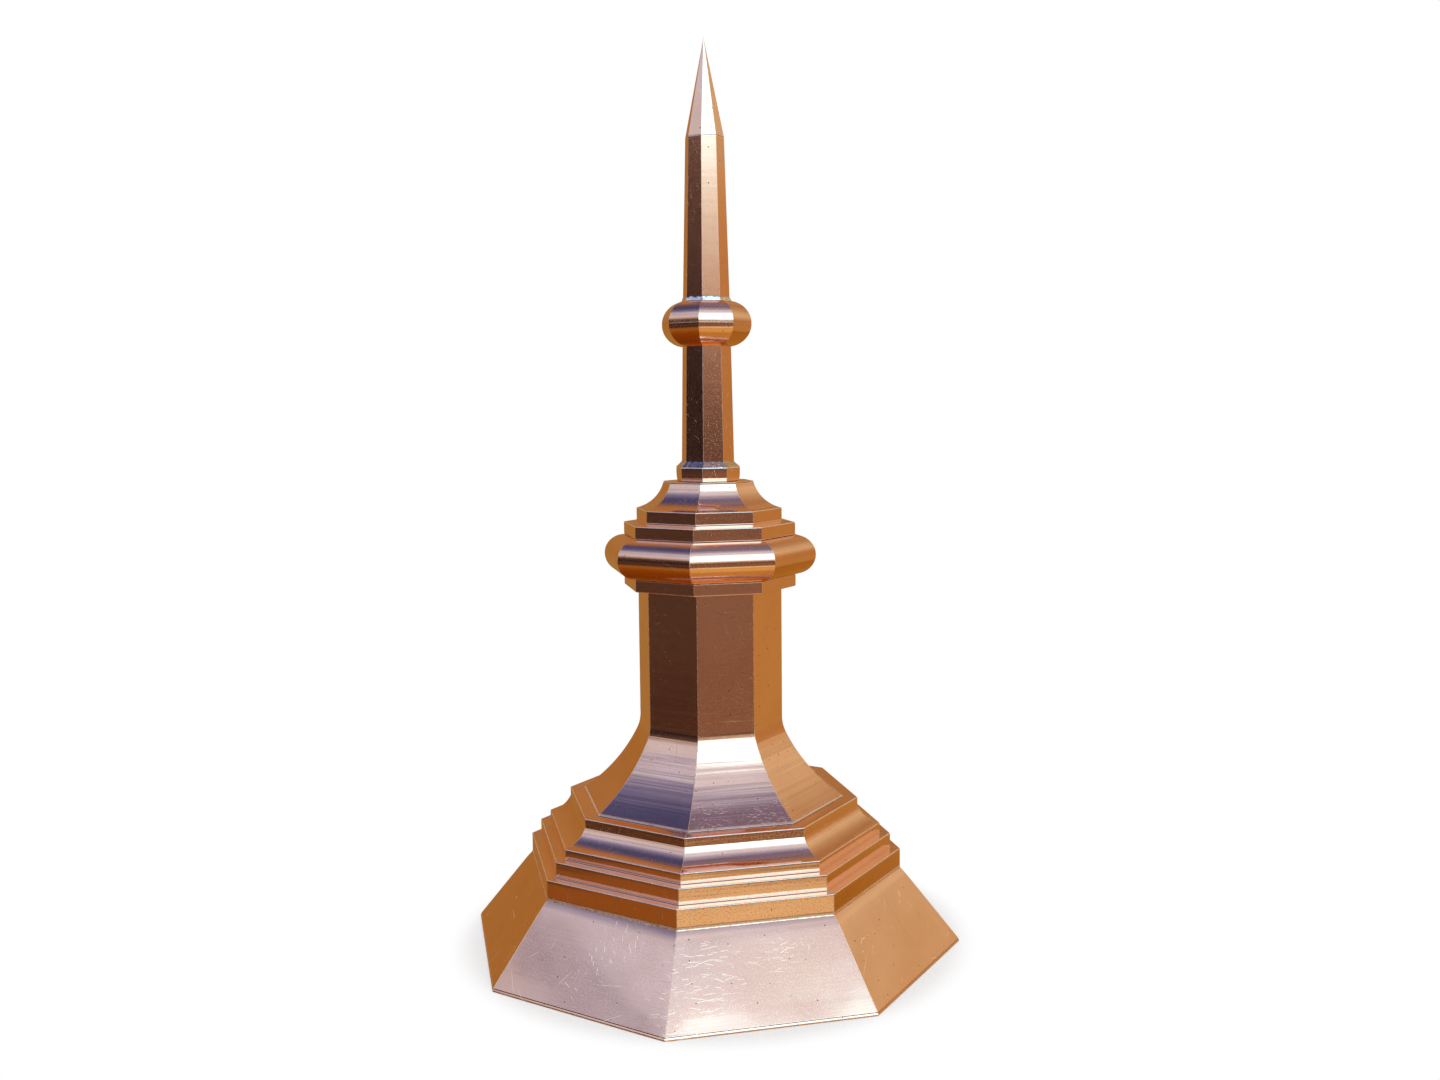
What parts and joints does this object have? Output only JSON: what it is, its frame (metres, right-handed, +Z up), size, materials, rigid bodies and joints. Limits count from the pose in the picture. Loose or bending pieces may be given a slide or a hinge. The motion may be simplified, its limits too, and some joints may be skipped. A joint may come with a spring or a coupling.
{
  "type": "fence post cap",
  "caption": "Octagonal sheet-copper pier cap: flared skirt, stepped base, flared column, bead and cove capital, tapered spire with a knop and a pointed tip.",
  "frame": {"origin": "centre of the octagon in the plane that the drip edge stands on", "axes": "+Z up along the spire; the octagon has flats facing -Y (front), +X, +Y and -X"},
  "size_m": [0.6096, 0.6096, 1.1745],
  "materials": {
    "copper_sheet": "bright rolled copper, lightly scratched",
    "galvanised_steel": "dull galvanised"
  },
  "bodies": {
    "root": {"base_bulkhead": "galvanised_steel", "base_moulding_back": "copper_sheet", "base_moulding_back_left": "copper_sheet", "base_moulding_back_right": "copper_sheet", "base_moulding_front": "copper_sheet", "base_moulding_front_left": "copper_sheet", "base_moulding_front_right": "copper_sheet", "base_moulding_left": "copper_sheet", "base_moulding_right": "copper_sheet", "cap_moulding_back": "copper_sheet", "cap_moulding_back_left": "copper_sheet", "cap_moulding_back_right": "copper_sheet", "cap_moulding_front": "copper_sheet", "cap_moulding_front_left": "copper_sheet", "cap_moulding_front_right": "copper_sheet", "cap_moulding_left": "copper_sheet", "cap_moulding_right": "copper_sheet", "cap_plate": "copper_sheet", "column_panel_back": "copper_sheet", "column_panel_back_left": "copper_sheet", "column_panel_back_right": "copper_sheet", "column_panel_front": "copper_sheet", "column_panel_front_left": "copper_sheet", "column_panel_front_right": "copper_sheet", "column_panel_left": "copper_sheet", "column_panel_right": "copper_sheet", "flange_bolt_1": "galvanised_steel", "flange_bolt_2": "galvanised_steel", "flange_bolt_3": "galvanised_steel", "flange_bolt_4": "galvanised_steel", "knop_lower_half": "copper_sheet", "knop_upper_half": "copper_sheet", "lower_spire": "copper_sheet", "neck_band": "copper_sheet", "neck_bulkhead": "galvanised_steel", "rod_nut": "galvanised_steel", "skirt_panel_back": "copper_sheet", "skirt_panel_back_left": "copper_sheet", "skirt_panel_back_right": "copper_sheet", "skirt_panel_front": "copper_sheet", "skirt_panel_front_left": "copper_sheet", "skirt_panel_front_right": "copper_sheet", "skirt_panel_left": "copper_sheet", "skirt_panel_right": "copper_sheet", "socket_flange": "galvanised_steel", "socket_tube": "galvanised_steel", "spire_collar": "copper_sheet", "spire_plug": "galvanised_steel", "spire_point": "copper_sheet", "spire_rod": "galvanised_steel", "torus_bead_back": "copper_sheet", "torus_bead_back_left": "copper_sheet", "torus_bead_back_right": "copper_sheet", "torus_bead_front": "copper_sheet", "torus_bead_front_left": "copper_sheet", "torus_bead_front_right": "copper_sheet", "torus_bead_left": "copper_sheet", "torus_bead_right": "copper_sheet", "upper_spire": "copper_sheet"}
  },
  "joints": []
}
